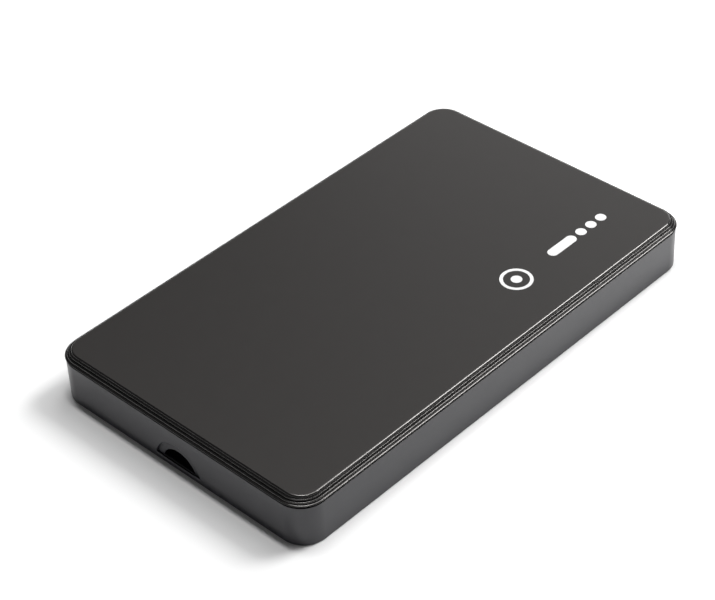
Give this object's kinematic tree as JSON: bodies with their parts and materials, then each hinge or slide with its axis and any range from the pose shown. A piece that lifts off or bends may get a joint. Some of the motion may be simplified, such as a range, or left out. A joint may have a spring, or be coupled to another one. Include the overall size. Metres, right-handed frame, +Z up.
{
  "type": "external hard drive",
  "caption": "Flat dark plastic case with a stepped lid and a half-moon finger slot, clipped round a disc drive and a cable port board.",
  "frame": {"origin": "under the middle of the case's floor, where it rests", "axes": "+X along the case towards the port end, +Y across it, +Z up through the lid"},
  "size_m": [0.1264, 0.0754, 0.0125],
  "materials": {
    "lid": "fine matte plate, glossy stepped rim",
    "tray": "satin",
    "foam": "open-cell foam",
    "board": "solder mask",
    "chip": "moulded package",
    "can": "pressed can",
    "ceramic_part": "fired",
    "lamp": "clear lens",
    "guide": "clear moulding",
    "screw": "plated",
    "black_plastic": "moulded",
    "port_shell": "drawn sheet",
    "cast": "cast",
    "sheet": "pressed sheet",
    "seal": "moulded",
    "disc": "polished",
    "turned": "turned",
    "steel": "ground",
    "iron": "laminated",
    "copper": "enamelled wire",
    "magnet": "nickel plated",
    "ramp": "moulded",
    "film": "film",
    "filter": "fibre",
    "gold": "plated"
  },
  "bodies": {
    "case": {"bearing_sleeve": "steel", "board_screws": "screw", "bottom_case": "tray", "breather_filter": "filter", "bridge_board": "board", "bridge_chip": "chip", "bridge_screws": "screw", "capacitors": "ceramic_part", "controller_chip": "chip", "cover_gasket": "seal", "cover_screws": "screw", "crystal": "can", "drive_base": "cast", "drive_board": "board", "drive_connector": "black_plastic", "drive_contacts": "gold", "drive_cover": "sheet", "dust_filter": "filter", "flash_chip": "chip", "flex_circuit": "film", "flex_connector": "black_plastic", "foam_pad": "foam", "inductor": "iron", "light_guide": "guide", "lower_magnet": "magnet", "lower_yoke": "steel", "memory_chip": "chip", "motor_coils": "copper", "motor_driver": "chip", "motor_stator": "iron", "parking_ramp": "ramp", "pivot_post": "steel", "sata_socket": "black_plastic", "status_led": "lamp", "top_cover": "lid", "upper_magnet": "magnet", "upper_yoke": "steel", "usb_insert": "black_plastic", "usb_shell": "port_shell", "yoke_posts": "steel"},
    "spindle": {"platter": "disc", "spindle_hub": "turned", "spindle_shaft": "steel", "rotor_magnet": "magnet", "disc_clamp": "turned", "clamp_screw": "screw"},
    "head_arm": {"actuator_arm": "turned", "voice_coil": "copper", "pivot_bearing": "steel", "head_suspensions": "steel", "head_sliders": "chip"}
  },
  "joints": [
    {"name": "spindle_spin", "type": "hinge", "parent": "case", "child": "spindle", "pos_m": [-0.022, 0, 0.0057], "axis": [0, 0, 1], "continuous": true},
    {"name": "arm_swing", "type": "hinge", "parent": "case", "child": "head_arm", "pos_m": [0.0155, -0.01447, 0.0057], "axis": [0, 0, 1], "range_deg": [0, 33.3]}
  ]
}
